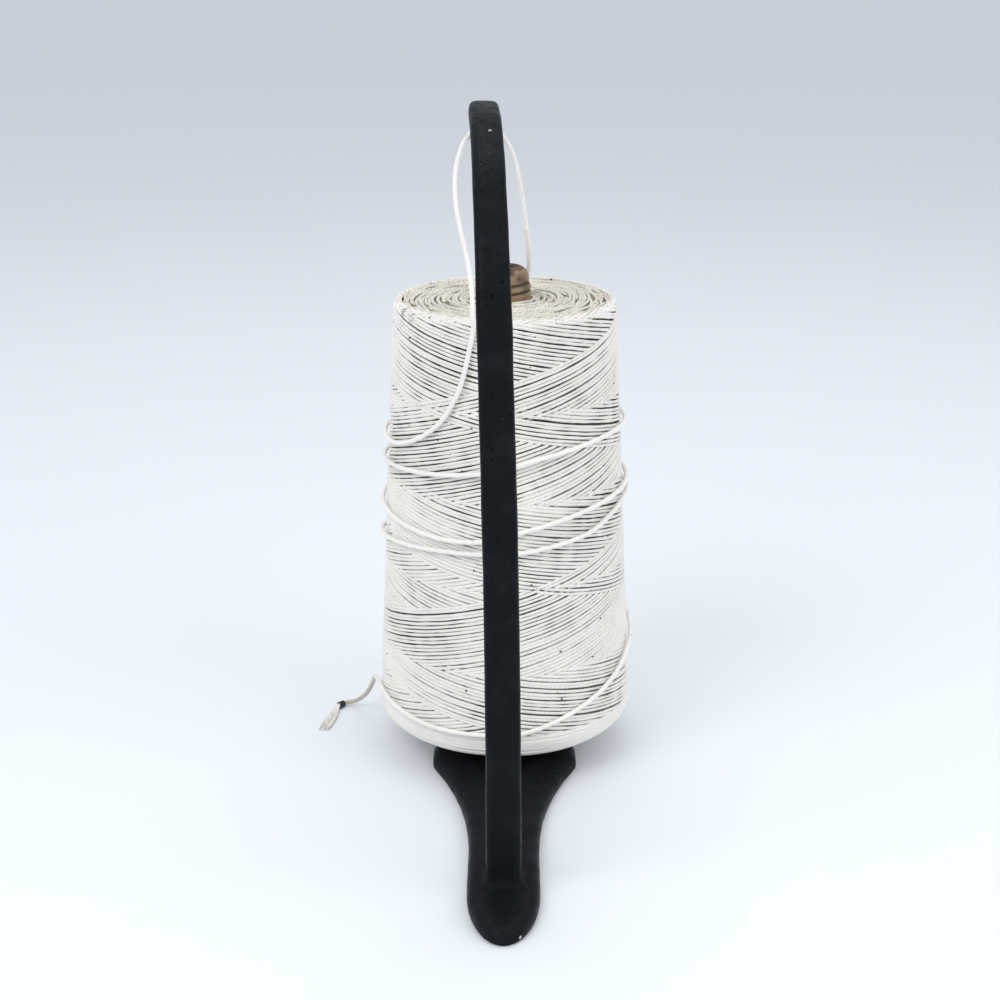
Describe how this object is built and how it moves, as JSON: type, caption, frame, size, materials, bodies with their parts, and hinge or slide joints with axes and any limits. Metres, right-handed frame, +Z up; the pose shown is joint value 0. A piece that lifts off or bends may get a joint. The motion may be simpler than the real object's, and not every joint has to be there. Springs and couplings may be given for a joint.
{
  "type": "string holder",
  "caption": "Counter-top string holder: black cast gooseneck frame with an eye over a large cross-wound cone of white twine on a paper core, with loose turns and a frayed tail.",
  "frame": {"origin": "on the cone's axis, on the surface that the base stands on", "axes": "+Z up along the cone's axis; -Y towards the front lobe and the arm's upright; +X to the right seen from the front"},
  "size_m": [0.1509, 0.2404, 0.3051],
  "materials": {
    "black_casting": "semi-gloss black enamel over cast iron, pitted and chipped",
    "spindle_steel": "turned, dull",
    "screw_steel": "dull",
    "kraft_paper": "brown wound paper, creased",
    "cotton_body": "white cotton twine, soiled in the hollows",
    "cotton_twine": "white cotton twine",
    "dark_thread": "dark thread"
  },
  "bodies": {
    "holder": {"frame_casting": "black_casting", "spindle": "spindle_steel", "spindle_screw": "screw_steel", "string_lead": "cotton_twine", "loose_turns": "cotton_twine", "string_tail": "cotton_twine", "tail_binding": "dark_thread", "tail_tuft": "cotton_twine"},
    "cone": {"paper_core": "kraft_paper", "string_package": "cotton_body", "outer_winding": "cotton_twine"}
  },
  "joints": [
    {"name": "cone_turn", "type": "hinge", "parent": "holder", "child": "cone", "pos_m": [0, 0, 0.008], "axis": [0, 0, 1], "continuous": true}
  ]
}
